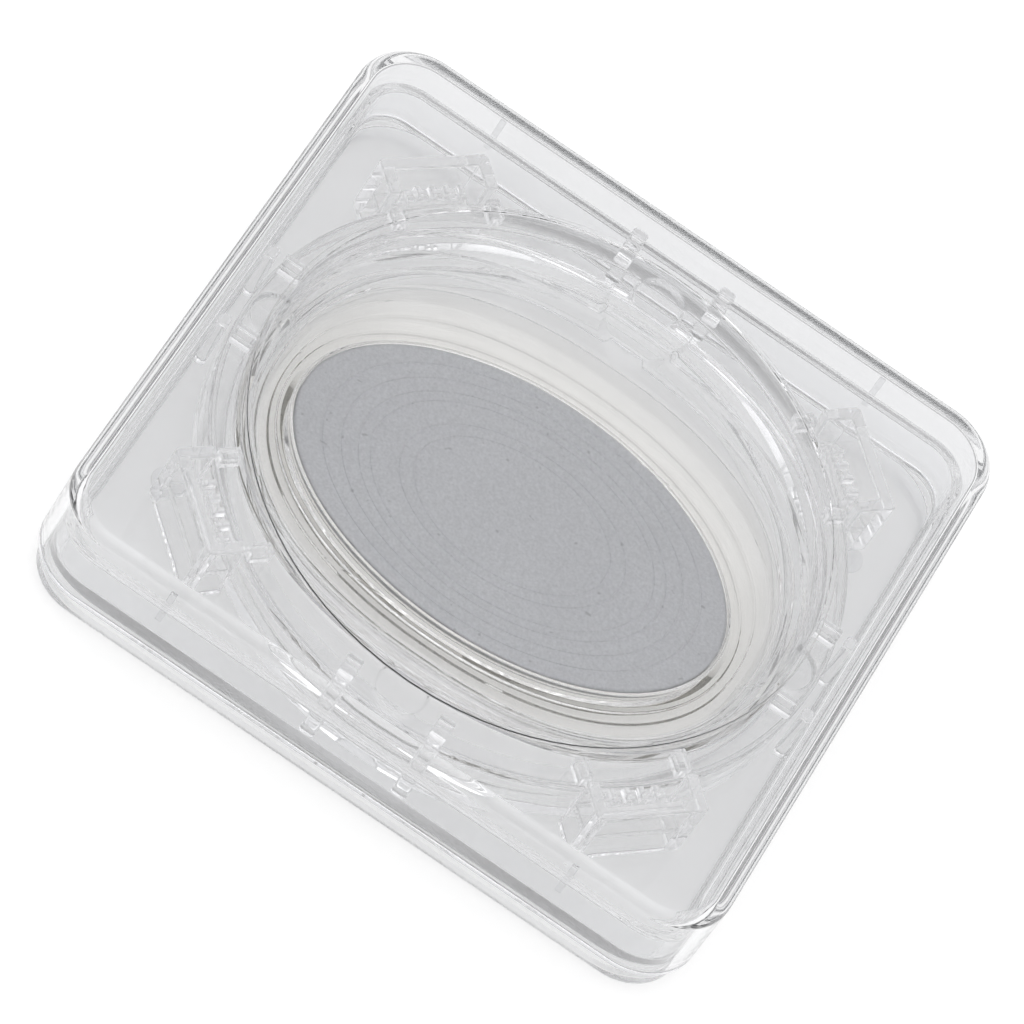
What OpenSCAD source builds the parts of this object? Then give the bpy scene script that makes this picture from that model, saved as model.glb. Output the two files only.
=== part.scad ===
// Pocket wet palette: a clear square case that holds an oval water well,
// a damp pad and a grey mixing disc. Millimetres, +Z up.
// The origin is the centre of the face that the case stands on.

/* [Case] */
// Outer width of the square cover
case_w = 100; // [90:1:125]
// Overall height, from the foot to the top of the stacking ridge
case_h = 18.4; // [17.8:0.2:24]
// Outer corner radius of the cover, seen from above
corner_r = 9; // [6:0.1:12]
// Running gap between parts that lift past each other
lift_gap = 0.3; // [0.2:0.05:0.4]
// Gap between parts that seat against each other and stay put
seat_gap = 0.1; // [0.05:0.05:0.2]

/* [Cover] */
// Wall of the cover's skirt
skirt_t = 1.7; // [1.2:0.1:2.2]
// Thickness of the cover's top plate
top_t = 1.7; // [1.2:0.1:2.2]
// Rounding of the cover's top edge
edge_r = 2.6; // [1:0.1:3.5]
// Middle radius of the ridge that a second palette stacks on
ridge_r = 40.9; // [36:0.1:44]
// Width of the stacking ridge
ridge_w = 0.8; // [0.5:0.1:1.5]
// Height of the stacking ridge
ridge_h = 0.25; // [0.15:0.05:0.5]
// Distance of the grip ribs from the middle of each side
grip_x = 30.6; // [20:0.1:36]
// Width of a grip rib
grip_w = 0.9; // [0.6:0.1:1.5]
// Lower end of the grip ribs
grip_z = 9.8; // [8:0.1:11]
// Upper end of the grip ribs
grip_top = 15.6; // [12:0.1:16]

/* [Base tray] */
// Height of the foot, where the seal lies
foot_h = 3.8; // [3.4:0.1:4.2]
// How far the foot is set in from the cover's face
foot_inset = 1.1; // [0.8:0.1:1.3]
// Bevel along the bottom edge of the foot
foot_bevel = 0.5; // [0.2:0.1:0.8]
// Wall of the tray
tray_t = 1.6; // [1.2:0.1:2]
// Height of the tray's wall above its floor
tray_h = 6.2; // [5:0.1:7.5]
// Top of the tray's floor
floor_z = 5.6; // [5.4:0.1:6.2]
// Thickness of the tray's floor
floor_t = 1.6; // [1.2:0.1:1.8]
// How far the sump's wall lies inside the ring's bore
sump_step = 2; // [1.5:0.1:2.2]
// Wall of the sump
sump_t = 1.3; // [1:0.1:1.6]
// Thickness of the sump's floor
sump_floor_t = 1; // [0.8:0.1:1.1]

/* [Seal] */
// Thickness of the silicone seal under the skirt
seal_t = 0.5; // [0.3:0.1:0.8]

/* [Holder ring] */
// Space between the ring and the tray's wall, bridged by the posts
ring_gap = 1.8; // [1.4:0.1:2.4]
// Wall of the ring
ring_t = 3.4; // [3:0.1:3.6]
// Height of the ring above the tray's floor, where the well's flange rests
ring_h = 6.4; // [6.2:0.1:8]
// Half the distance between the two posts of a side
post_x = 7.05; // [5:0.05:9]
// Width of a post
post_w = 2.3; // [1.5:0.1:3]
// Height of the posts above the tray's floor
post_h = 9.7; // [8:0.1:10.2]

/* [Corner clips] */
// Length of a clip along the ring
clip_w = 16.2; // [12:0.1:17]
// Depth of a clip, from the ring to its back face
clip_d = 5.7; // [5:0.1:6.2]
// Wall of a clip
clip_t = 1.9; // [1.4:0.1:2.1]
// Height of the shelf inside a clip above the tray's floor
shelf_h = 5; // [4:0.1:6]
// Thickness of the shelf
shelf_t = 1.2; // [0.8:0.1:1.6]
// Length of the toothed key on the shelf
key_w = 8.4; // [6:0.1:10]
// Thickness of a key
key_t = 2; // [1.4:0.1:2.4]
// Height of a key
key_h = 3.6; // [2.5:0.1:4.5]
// Number of teeth on a key
key_teeth = 4; // [2:1:5]
// Depth between the teeth of a key
tooth_h = 1; // [0.5:0.1:1.5]

/* [Well] */
// Thickness of the well's flange
flange_t = 1; // [0.8:0.1:1.4]
// Width of the flange at the two ends of the mouth
land_x = 4.3; // [4.2:0.1:5]
// Width of the flange at the two long sides of the mouth
land_y = 8.2; // [7.6:0.1:9]
// Run of the upper wall, from the mouth in to the sill line, at the ends
sill_run_x = 1.2; // [1:0.1:1.6]
// Run of the upper wall at the long sides
sill_run_y = 3.6; // [3:0.1:4.2]
// Depth of the sill line below the flange
sill_drop = 2.1; // [1.8:0.1:2.6]
// Run of the lower wall, from the sill line to the floor slope, at the ends
wall_run_x = 2.7; // [2.4:0.1:3]
// Run of the lower wall at the long sides
wall_run_y = 5; // [4.4:0.1:5.4]
// Depth of that turn below the flange
turn_drop = 6.3; // [6:0.1:6.6]
// Run of the floor slope down to the flat around the disc, at the ends
slope_run_x = 2.6; // [2:0.1:2.8]
// Run of the floor slope at the long sides
slope_run_y = 5.1; // [4.4:0.1:5.4]
// Depth of the flat around the disc below the flange
flat_drop = 8.4; // [8.2:0.1:8.5]
// Wall of the well
well_t = 1.2; // [1:0.1:1.3]
// Roundness of the well's outline, 2 is an ellipse
well_n = 2.3; // [2:0.1:2.6]
// Sideways place of the flat, the pad and the disc
flat_x = -0.4; // [-1:0.1:0]
// Radius of the nail notches in the flange
notch_r = 3.6; // [2.5:0.1:3.8]
// How far the near and far notches lie beyond the mouth's edge
notch_out_y = 2.7; // [2:0.1:3.2]
// How far the side notches lie beyond the mouth's edge
notch_out_x = 0; // [-0.4:0.1:0.2]

// Length of the ribs on the flange, in line with the posts and the clips' cheeks
rib_l = 3; // [2:0.1:3.4]
// Height of those ribs above the flange
rib_h = 2.3; // [1:0.1:2.6]

/* [Disc and pad] */
// Free space on the flat around the disc's hoop
disc_margin = 0.9; // [0.6:0.1:1.4]
// Thickness of the grey disc
disc_t = 1.35; // [1:0.05:1.6]
// Depth of the contour grooves in the disc
groove_d = 0.12; // [0.05:0.01:0.3]
// Width of a contour groove
groove_w = 0.3; // [0.2:0.05:0.5]
// How far the disc overlaps the flat around the pad's pocket
disc_lap = 1.6; // [1.2:0.1:2.4]
// Depth of the pocket's floor below the flange
pocket_drop = 10.1; // [9.8:0.1:10.2]
// Thickness of the well's floor below the pad
pocket_t = 1.15; // [0.9:0.05:1.2]
// Thickness of the damp pad
pad_t = 2.05; // [1.6:0.05:2.2]
// Width of the hoop that holds the disc's edge
hoop_w = 0.5; // [0.4:0.1:0.7]
// Height of the hoop
hoop_h = 0.9; // [0.6:0.1:1.2]

/* [Hidden] */
$fn = 96;

eps = 0.01;
half_w = case_w / 2;
skirt_in = half_w - skirt_t;
skirt_r = corner_r - skirt_t;
tray_out = skirt_in - lift_gap;
tray_in = tray_out - tray_t;
tray_r = skirt_r - lift_gap;
foot_out = half_w - foot_inset;
foot_in = foot_out - tray_t;
foot_r = corner_r - foot_inset;
ring_r = tray_in - ring_gap;
ring_in = ring_r - ring_t;
sump_r = ring_in - sump_step;
skirt_z = foot_h + seal_t;
plate_top = case_h - ridge_h;
plate_z = plate_top - top_t;
tray_top = floor_z + tray_h;
ring_top = floor_z + ring_h;
post_top = floor_z + post_h;
shelf_z = floor_z + shelf_h;
flange_z = ring_top + flange_t;
sill_z = flange_z - sill_drop;
turn_z = flange_z - turn_drop;
flat_z = flange_z - flat_drop;
pocket_z = flange_z - pocket_drop;
well_z = pocket_z - pocket_t;
sump_top = well_z - lift_gap;
sump_z = sump_top - sump_floor_t;
mouth_a = ring_r - land_x;
mouth_b = ring_r - land_y;
sill_a = mouth_a - sill_run_x;
sill_b = mouth_b - sill_run_y;
turn_a = sill_a - wall_run_x;
turn_b = sill_b - wall_run_y;
flat_a = turn_a - slope_run_x;
flat_b = turn_b - slope_run_y;
disc_a = flat_a - disc_margin - hoop_w;
disc_b = flat_b - disc_margin - hoop_w;
pocket_a = disc_a - disc_lap;
pocket_b = disc_b - disc_lap;
notch_y = mouth_b + notch_out_y;
notch_x = mouth_a + notch_out_x;
clip_in = ring_r + seat_gap;
clip_r = clip_in + clip_d;
clip_top = plate_z - lift_gap;
pocket_w = clip_w - 2 * clip_t;
disc_z = pocket_z + pad_t;
well_steps = 96;

// Half lengths of the contour grooves, as shares of the disc's half length
groove_shares = [0.87, 0.785, 0.707, 0.652, 0.519, 0.45];
// The grooves are a little rounder than the disc
groove_ratio = 1.05;

// Square plate with round corners, centred on Z
module slab(half, r, h) {
    c = half - r;
    translate([-half, -c, 0])
        cube([2 * half, 2 * c, h]);
    translate([-c, -half, 0])
        cube([2 * c, 2 * half, h]);
    for (x = [-c, c], y = [-c, c])
        translate([x, y, 0])
            cylinder(r = r, h = h);
}

// Signed power, which turns a circle's cosine and sine into an oval's
function spow(v, p) = sign(v) * pow(abs(v), p);

// Points of one oval: |x/a|^n + |y/b|^n = 1
function oval(a, b, n = 2) = [
    for (i = [0 : well_steps - 1])
        let (t = 360 * i / well_steps)
        [a * spow(cos(t), 2 / n), b * spow(sin(t), 2 / n)]
];

module oval_plate(a, b, h, n = 2) {
    linear_extrude(h)
        polygon(oval(a, b, n));
}

// One closed skin through a list of ovals [a, b, z, n, x]
module oval_loft(rings) {
    m = well_steps;
    points = [
        for (r = rings, p = oval(r[0], r[1], r[3]))
            [p[0] + r[4], p[1], r[2]]
    ];
    sides = [
        for (k = [0 : len(rings) - 2], i = [0 : m - 1])
            let (j = (i + 1) % m)
            [k * m + i, (k + 1) * m + i, (k + 1) * m + j, k * m + j]
    ];
    last = (len(rings) - 1) * m;
    caps = [
        [for (i = [0 : m - 1]) i],
        [for (i = [m - 1 : -1 : 0]) last + i]
    ];
    polyhedron(points, concat(sides, caps), convexity = 6);
}

// Turns one corner's parts into the corner with the given number
module at_corner(number) {
    rotate([0, 0, 90 * number - 45])
        children();
}

module base_tray() {
    color([0.86, 0.88, 0.89, 0.5])
    difference() {
        union() {
            translate([0, 0, foot_bevel])
                slab(foot_out, foot_r, foot_h - foot_bevel);
            slab(foot_out - foot_bevel, foot_r - foot_bevel, foot_bevel + eps);
            translate([0, 0, foot_h - eps])
                slab(tray_out, tray_r, tray_top - foot_h + eps);
        }
        translate([0, 0, floor_z])
            slab(tray_in, tray_r - tray_t, tray_top - floor_z + 1);
        translate([0, 0, -1])
            slab(foot_in, foot_r - tray_t, floor_z - floor_t + 1);
        cylinder(r = sump_r, h = floor_z + 1);
    }
}

// Round dish below the tray's floor, where water gathers under the well
module sump() {
    color([0.86, 0.88, 0.89, 0.5])
    translate([0, 0, sump_z])
        difference() {
            cylinder(r = sump_r + sump_t, h = floor_z - floor_t - sump_z);
            translate([0, 0, sump_floor_t])
                cylinder(r = sump_r, h = floor_z);
        }
}

module seal() {
    color([0.93, 0.94, 0.95])
    difference() {
        translate([0, 0, foot_h])
            slab(foot_out, foot_r, seal_t);
        translate([0, 0, foot_h - 1])
            slab(tray_out + seat_gap, tray_r + seat_gap, seal_t + 2);
    }
}

module holder_ring() {
    color([0.88, 0.9, 0.91, 0.6]) {
        translate([0, 0, floor_z])
            difference() {
                cylinder(r = ring_r, h = ring_top - floor_z);
                translate([0, 0, -1])
                    cylinder(r = ring_in, h = ring_top - floor_z + 2);
            }
        for (side = [0 : 3], x = [-post_x, post_x])
            rotate([0, 0, 90 * side])
                post(x);
    }
}

// Upright that keeps the ring centred in the tray. Its foot meets the ring's face.
module post(x) {
    foot_y = sqrt(pow(ring_r, 2) - pow(abs(x) + post_w / 2, 2)) - seat_gap;
    difference() {
        translate([x - post_w / 2, foot_y, floor_z])
            cube([post_w, tray_in - seat_gap - foot_y, post_top - floor_z]);
        translate([0, 0, ring_top])
            cylinder(r = ring_r + seat_gap, h = post_top);
    }
}

// Open bracket in a corner: a back, two cheeks and a shelf for the key
module clip(number) {
    color([0.9, 0.92, 0.93, 0.7])
    at_corner(number)
        difference() {
            translate([clip_in, -clip_w / 2, floor_z])
                cube([clip_r - clip_in, clip_w, clip_top - floor_z]);
            translate([clip_in - 1, -pocket_w / 2, shelf_z])
                cube([clip_r - clip_t - clip_in + 1, pocket_w, clip_top]);
            translate([clip_in - 1, -pocket_w / 2, floor_z - 1])
                cube([clip_r - clip_t - clip_in + 1, pocket_w, shelf_z - shelf_t - floor_z + 1]);
        }
}

// Toothed key that stands on the shelf and locks the clip to the ring
module key(number) {
    pitch = key_w / key_teeth;
    color([0.92, 0.93, 0.94, 0.8])
    at_corner(number)
        translate([clip_in + lift_gap, -key_w / 2, shelf_z])
            difference() {
                cube([key_t, key_w, key_h]);
                for (i = [0 : key_teeth - 1])
                    translate([-1, (i + 0.5) * pitch, key_h - tooth_h])
                        cube([key_t + 2, pitch / 2, tooth_h + 1]);
            }
}

// Rib that stands on the flange, cut to the flange's round edge
module flange_rib(low_y, wide) {
    intersection() {
        translate([-ring_r, low_y, flange_z - eps])
            cube([2 * ring_r, wide, rib_h + eps]);
        translate([0, 0, flange_z - 1])
            difference() {
                cylinder(r = ring_r, h = rib_h + 1);
                translate([-ring_r + rib_l + 1, -ring_r, -1])
                    cube([3 * ring_r, 2 * ring_r, rib_h + 3]);
            }
    }
}

module well() {
    wall_a = ring_in - lift_gap;
    outer = [
        [pocket_a + well_t, pocket_b + well_t, well_z, 2, flat_x],
        [flat_a + well_t / 2, flat_b + well_t, flat_z - well_t, 2.1, flat_x],
        [turn_a + well_t, turn_b + well_t, turn_z - well_t, well_n, 0],
        [sill_a + well_t, sill_b + well_t, sill_z - well_t, well_n, 0],
        [wall_a, mouth_b + well_t / 2, ring_top + eps, well_n, 0]
    ];
    inner = [
        [flat_a, flat_b, flat_z, 2, flat_x],
        [(flat_a + turn_a) / 2, (flat_b + turn_b) / 2, flat_z + 0.4 * (turn_z - flat_z), 2.1, flat_x / 2],
        [turn_a, turn_b, turn_z, well_n, 0],
        [sill_a, sill_b, sill_z, well_n, 0],
        [mouth_a, mouth_b, flange_z, well_n, 0],
        [mouth_a + sill_run_x / 2, mouth_b + sill_run_y / 2, flange_z + sill_drop / 2, well_n, 0]
    ];
    color([0.84, 0.86, 0.88, 0.6])
    difference() {
        union() {
            intersection() {
                oval_loft(outer);
                cylinder(r = wall_a, h = flange_z);
            }
            translate([0, 0, ring_top])
                cylinder(r = ring_r, h = flange_t);
            for (turn = [0 : 3]) {
                for (y = [-post_x, post_x])
                    rotate([0, 0, 90 * turn])
                        flange_rib(y - post_w / 2, post_w);
                for (y = [-clip_w / 2, clip_w / 2 - clip_t])
                    rotate([0, 0, 90 * turn + 45])
                        flange_rib(y, clip_t);
            }
        }
        oval_loft(inner);
        translate([flat_x, 0, pocket_z])
            oval_plate(pocket_a, pocket_b, flat_z);
        for (y = [-notch_y, notch_y])
            translate([0, y, ring_top + flange_t / 4])
                cylinder(r = notch_r, h = flange_t);
        for (x = [-notch_x, notch_x])
            translate([x, 0, ring_top + flange_t / 4])
                cylinder(r = notch_r, h = flange_t);
    }
}

module pad() {
    color([0.93, 0.92, 0.87])
    translate([flat_x, 0, pocket_z])
        oval_plate(pocket_a - lift_gap, pocket_b - lift_gap, pad_t);
}

module hoop() {
    color([0.95, 0.96, 0.96])
    translate([flat_x, 0, disc_z])
        difference() {
            oval_plate(disc_a + seat_gap + hoop_w, disc_b + seat_gap + hoop_w, hoop_h);
            translate([0, 0, -1])
                oval_plate(disc_a + seat_gap, disc_b + seat_gap, hoop_h + 2);
        }
}

module disc() {
    color([0.7, 0.71, 0.73])
    translate([flat_x, 0, disc_z])
        difference() {
            oval_plate(disc_a, disc_b, disc_t);
            for (share = groove_shares)
                translate([0, 0, disc_t - groove_d])
                    groove(share * disc_a, share * disc_b * groove_ratio);
        }
}

// One contour groove: a thin oval band
module groove(a, b) {
    difference() {
        oval_plate(a + groove_w / 2, b + groove_w / 2, 1);
        translate([0, 0, -1])
            oval_plate(a - groove_w / 2, b - groove_w / 2, 3);
    }
}

// Corner column of the cover, with the rounded top edge
module cover_column() {
    rotate_extrude($fn = 32) {
        translate([0, skirt_z])
            square([corner_r, plate_top - edge_r - skirt_z]);
        square_in = corner_r - edge_r;
        translate([0, skirt_z])
            square([square_in, plate_top - skirt_z]);
        intersection() {
            translate([square_in, plate_top - edge_r])
                circle(r = edge_r, $fn = 32);
            translate([square_in, plate_top - edge_r])
                square(edge_r);
        }
    }
}

module cover() {
    c = half_w - corner_r;
    color([0.9, 0.91, 0.92, 0.35]) {
        difference() {
            union() {
                hull()
                    for (x = [-c, c], y = [-c, c])
                        translate([x, y, 0])
                            cover_column();
                translate([0, 0, plate_top - eps])
                    cylinder(r = ridge_r + ridge_w / 2, h = ridge_h + eps);
            }
            translate([0, 0, skirt_z - 1])
                slab(skirt_in, skirt_r, plate_z - skirt_z + 1);
            translate([0, 0, plate_top])
                cylinder(r = ridge_r - ridge_w / 2, h = 1);
        }
        for (side = [0 : 3], x = [-grip_x, grip_x])
            rotate([0, 0, 90 * side])
                translate([x - grip_w / 2, tray_out + seat_gap, grip_z])
                    cube([grip_w, skirt_in - tray_out, grip_top - grip_z]);
    }
}

base_tray();
sump();
seal();
holder_ring();
clip(1);  // clip_1
clip(2);  // clip_2
clip(3);  // clip_3
clip(4);  // clip_4
key(1);  // key_1
key(2);  // key_2
key(3);  // key_3
key(4);  // key_4
well();
pad();
hoop();
disc();
cover();
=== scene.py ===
import math

import bpy
import numpy as np
from mathutils import Matrix, Vector


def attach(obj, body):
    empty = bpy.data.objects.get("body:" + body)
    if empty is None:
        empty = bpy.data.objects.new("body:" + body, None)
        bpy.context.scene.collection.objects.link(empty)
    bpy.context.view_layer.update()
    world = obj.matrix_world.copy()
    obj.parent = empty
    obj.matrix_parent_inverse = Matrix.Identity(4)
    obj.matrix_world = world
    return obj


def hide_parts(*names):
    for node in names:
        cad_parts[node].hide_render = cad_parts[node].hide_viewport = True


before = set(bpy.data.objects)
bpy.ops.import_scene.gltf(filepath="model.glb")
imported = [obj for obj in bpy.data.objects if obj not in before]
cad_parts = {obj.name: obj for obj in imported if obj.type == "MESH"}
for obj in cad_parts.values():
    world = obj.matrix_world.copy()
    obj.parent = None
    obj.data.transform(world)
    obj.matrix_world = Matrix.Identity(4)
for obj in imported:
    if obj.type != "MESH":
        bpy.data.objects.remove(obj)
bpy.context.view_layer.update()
mm = 0.001  # every shape below is worked out in millimetres, then scaled to metres
print("stage: frame loaded")


def filletPath(knots, softness, spans=None, arcSteps=4, closed=False):
    # A polyline whose corners become arcs. Columns 0 and 1 are the plane that the radius is
    # measured in, and the other columns follow along. Each arc is the rational quadratic curve
    # ((1-t)^2 S + 2 w t (1-t) P + t^2 E) / ((1-t)^2 + 2 w t (1-t) + t^2), w = cos(turn / 2).
    knots = np.asarray(knots, float)
    count = len(knots)
    share = np.linspace(0, 1, arcSteps + 1)[:, None]
    rows, arcs = [], []
    for i in range(count):
        corner = knots[i]
        radius = softness[i]
        inner = closed or 0 < i < count - 1
        if not inner or radius <= 0:
            arcs.append(corner[None])
            continue
        before, after = knots[i - 1], knots[(i + 1) % count]
        back, ahead = before - corner, after - corner
        lengthBack = math.hypot(back[0], back[1])
        lengthAhead = math.hypot(ahead[0], ahead[1])
        cosine = -(back[0] * ahead[0] + back[1] * ahead[1]) / (lengthBack * lengthAhead)
        turn = math.acos(max(-1, min(1, cosine)))
        reach = min(radius * math.tan(turn / 2), 0.48 * lengthBack, 0.48 * lengthAhead)
        first = corner + back * reach / lengthBack
        last = corner + ahead * reach / lengthAhead
        weight = math.cos(turn / 2)
        low, mid, high = (1 - share) ** 2, 2 * weight * share * (1 - share), share**2
        arcs.append((low * first + mid * corner + high * last) / (low + mid + high))
    for i in range(count):
        rows.append(arcs[i])
        if i == count - 1 and not closed:
            break
        extra = spans[i] if spans is not None else 0
        if extra:
            step = np.linspace(0, 1, extra + 2)[1:-1, None]
            rows.append(arcs[i][-1] * (1 - step) + arcs[(i + 1) % count][0] * step)
    return np.concatenate(rows)


def cones(first, second, third):
    # Six times the signed volume between the origin and the triangles
    return np.sum(first * np.cross(second, third))


def shellFromRings(rings, closed=False):
    # rings is rows x columns x 3. Each row is a closed loop and neighbouring rows are joined by
    # quads. An open stack is closed with a flat face at each end, so the shell is watertight.
    rows, columns = rings.shape[:2]
    lastRow = rows if closed else rows - 1
    row = np.arange(lastRow)[:, None]
    column = np.arange(columns)[None]
    nextRow, nextColumn = (row + 1) % rows, (column + 1) % columns
    quads = np.stack(
        [
            row * columns + column,
            row * columns + nextColumn,
            nextRow * columns + nextColumn,
            nextRow * columns + column,
        ],
        axis=-1,
    ).reshape(-1, 4)
    points = rings.reshape(-1, 3)
    faces = quads.tolist()
    a, b, c, d = (points[quads[:, k]] for k in range(4))
    volume = cones(a, b, c) + cones(a, c, d)
    if not closed:
        faces.append(list(range(columns))[::-1])
        faces.append(list(range((rows - 1) * columns, rows * columns)))
        low, high = rings[0], rings[-1]
        volume += cones(low[:1], np.roll(low, -1, axis=0), low)
        volume += cones(high[:1], high, np.roll(high, -1, axis=0))
    if volume < 0:
        faces = [face[::-1] for face in faces]
    return points, faces


def joinShells(shells):
    # Several closed shells as one list of points and one list of faces
    points, faces, offset = [], [], 0
    for shellPoints, shellFaces in shells:
        points.append(shellPoints)
        faces += [[index + offset for index in face] for face in shellFaces]
        offset += len(shellPoints)
    return np.concatenate(points), faces


def addPiece(name, shell, body, material, stands=()):
    points, faces = shell
    mesh = bpy.data.meshes.new(name)
    mesh.from_pydata((points * mm).tolist(), [], faces)
    mesh.polygons.foreach_set("use_smooth", np.ones(len(mesh.polygons), bool))
    mesh.update()
    piece = bpy.data.objects.new(name, mesh)
    bpy.context.scene.collection.objects.link(piece)
    even = piece.modifiers.new("evenShading", "WEIGHTED_NORMAL")
    even.keep_sharp = True
    even.weight = 100
    mesh.materials.append(material)
    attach(piece, body)
    if stands:
        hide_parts(*stands)
    return piece


def turned(points, degrees):
    # Points turned about the vertical axis
    angle = math.radians(degrees)
    cosine, sine = math.cos(angle), math.sin(angle)
    spin = np.array([[cosine, sine, 0], [-sine, cosine, 0], [0, 0, 1]])
    return points @ spin


def squareWalk(cornerSteps=16, sideSteps=20):
    # Once round a square with round corners: for each sample the corner centre's sign and the
    # outward direction, so that a point is (half - radius) * sign + radius * direction.
    signs, turns = [], []
    corners = np.array([[1, 1], [-1, 1], [-1, -1], [1, -1]], float)
    for k in range(4):
        angle = math.pi / 2 * (k + np.linspace(0, 1, cornerSteps + 1))
        turns.append(np.stack([np.cos(angle), np.sin(angle)], axis=1))
        signs.append(np.repeat(corners[k][None], cornerSteps + 1, axis=0))
        share = np.linspace(0, 1, sideSteps + 1)[1:-1, None]
        signs.append(corners[k] * (1 - share) + corners[(k + 1) % 4] * share)
        turns.append(np.repeat(turns[-1][-1:], sideSteps - 1, axis=0))
    return np.concatenate(signs), np.concatenate(turns)


walkSign, walkTurn = squareWalk()
walkPlace = 43 * walkSign + 5 * walkTurn
walkAngle = np.arctan2(walkPlace[:, 1], walkPlace[:, 0])
walkCircle = np.stack([np.cos(walkAngle), np.sin(walkAngle)], axis=1)


def squareRings(profile):
    # Columns of profile: half width, z, corner radius, share of circle. Every row is a round
    # cornered square, a circle, or a blend of the two with the same polar angles.
    half, z, corner, blend = (profile[:, k][:, None, None] for k in range(4))
    corner = np.clip(corner, 0, None)
    square = (half - corner) * walkSign[None] + corner * walkTurn[None]
    flat = (1 - blend) * square + blend * half * walkCircle[None]
    return np.concatenate([flat, np.broadcast_to(z, flat.shape[:2] + (1,))], axis=2)


def ovalAngles(dense=72, sparse=48, spread=12.0):
    # Polar angles round the well, packed closely near the four notches
    spread = math.radians(spread)
    quarter = np.concatenate(
        [
            np.linspace(-spread, spread, dense, endpoint=False),
            np.linspace(spread, math.pi / 2 - spread, sparse, endpoint=False),
        ]
    )
    return np.concatenate([quarter + k * math.pi / 2 for k in range(4)])


def ovalRings(profile, angles, limit=None):
    # Columns of profile: b, z, a, n, x. Every row is the closed curve |x/a|^n + |y/b|^n = 1 at
    # equal polar angles, pushed sideways by x.
    b, z, a, n, x = (profile[:, k][:, None] for k in range(5))
    cosine, sine = np.abs(np.cos(angles))[None], np.abs(np.sin(angles))[None]
    radius = ((cosine / a) ** n + (sine / b) ** n) ** (-1 / n)
    if limit is not None:
        radius = np.where(z < limit[1], np.minimum(radius, limit[0]), radius)
    px = radius * np.cos(angles)[None] + x
    py = radius * np.sin(angles)[None]
    return np.stack([px, py, np.broadcast_to(z, px.shape)], axis=2)


def slabShell(outline, low, high, edge, steps=3):
    # An upright slab: its outline is drawn in along its own normals by the edge rounding
    outline = np.asarray(outline, float)
    tangent = np.roll(outline, -1, axis=0) - np.roll(outline, 1, axis=0)
    area = np.sum(outline[:, 0] * np.roll(outline[:, 1], -1) - outline[:, 1] * np.roll(outline[:, 0], -1))
    normal = np.stack([tangent[:, 1], -tangent[:, 0]], axis=1) * (1 if area > 0 else -1)
    normal /= np.linalg.norm(normal, axis=1, keepdims=True)
    angle = np.linspace(0, math.pi / 2, steps + 1)
    inset = edge * np.concatenate([1 - np.sin(angle), 1 - np.cos(angle)])
    z = np.concatenate([low + edge * (1 - np.cos(angle)), high - edge + edge * np.sin(angle)])
    flat = outline[None] - inset[:, None, None] * normal[None]
    rings = np.concatenate([flat, np.broadcast_to(z[:, None, None], flat.shape[:2] + (1,))], axis=2)
    return shellFromRings(rings)


def boxOutline(lowX, highX, lowY, highY, radius, arcSteps=3):
    corners = [[lowX, lowY], [highX, lowY], [highX, highY], [lowX, highY]]
    return filletPath(corners, [radius] * 4, arcSteps=arcSteps, closed=True)


def newGroup(name, inputs, outputs):
    group = bpy.data.node_groups.new(name, "ShaderNodeTree")
    for socketName, kind, value in inputs:
        socket = group.interface.new_socket(socketName, in_out="INPUT", socket_type=kind)
        if value is not None:
            socket.default_value = value
    for socketName, kind in outputs:
        group.interface.new_socket(socketName, in_out="OUTPUT", socket_type=kind)
    nodes = group.nodes
    given, result = nodes.new("NodeGroupInput"), nodes.new("NodeGroupOutput")
    return group, nodes, group.links, given, result


def mathNode(nodes, links, operation, first, second):
    node = nodes.new("ShaderNodeMath")
    node.operation = operation
    for index, value in enumerate((first, second)):
        if value is None:
            continue
        if isinstance(value, (int, float)):
            node.inputs[index].default_value = value
        else:
            links.new(value, node.inputs[index])
    return node.outputs[0]


def noiseNode(nodes, links, vector, scale, detail=2.0, roughness=0.5):
    node = nodes.new("ShaderNodeTexNoise")
    node.inputs["Detail"].default_value = detail
    node.inputs["Roughness"].default_value = roughness
    links.new(vector, node.inputs["Vector"])
    if isinstance(scale, (int, float)):
        node.inputs["Scale"].default_value = scale
    else:
        links.new(scale, node.inputs["Scale"])
    return node.outputs["Fac"]


def rangeNode(nodes, links, value, fromLow, fromHigh, toLow, toHigh):
    node = nodes.new("ShaderNodeMapRange")
    node.interpolation_type = "SMOOTHSTEP"
    for index, item in enumerate((value, fromLow, fromHigh, toLow, toHigh)):
        if isinstance(item, (int, float)):
            node.inputs[index].default_value = item
        else:
            links.new(item, node.inputs[index])
    return node.outputs[0]


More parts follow.
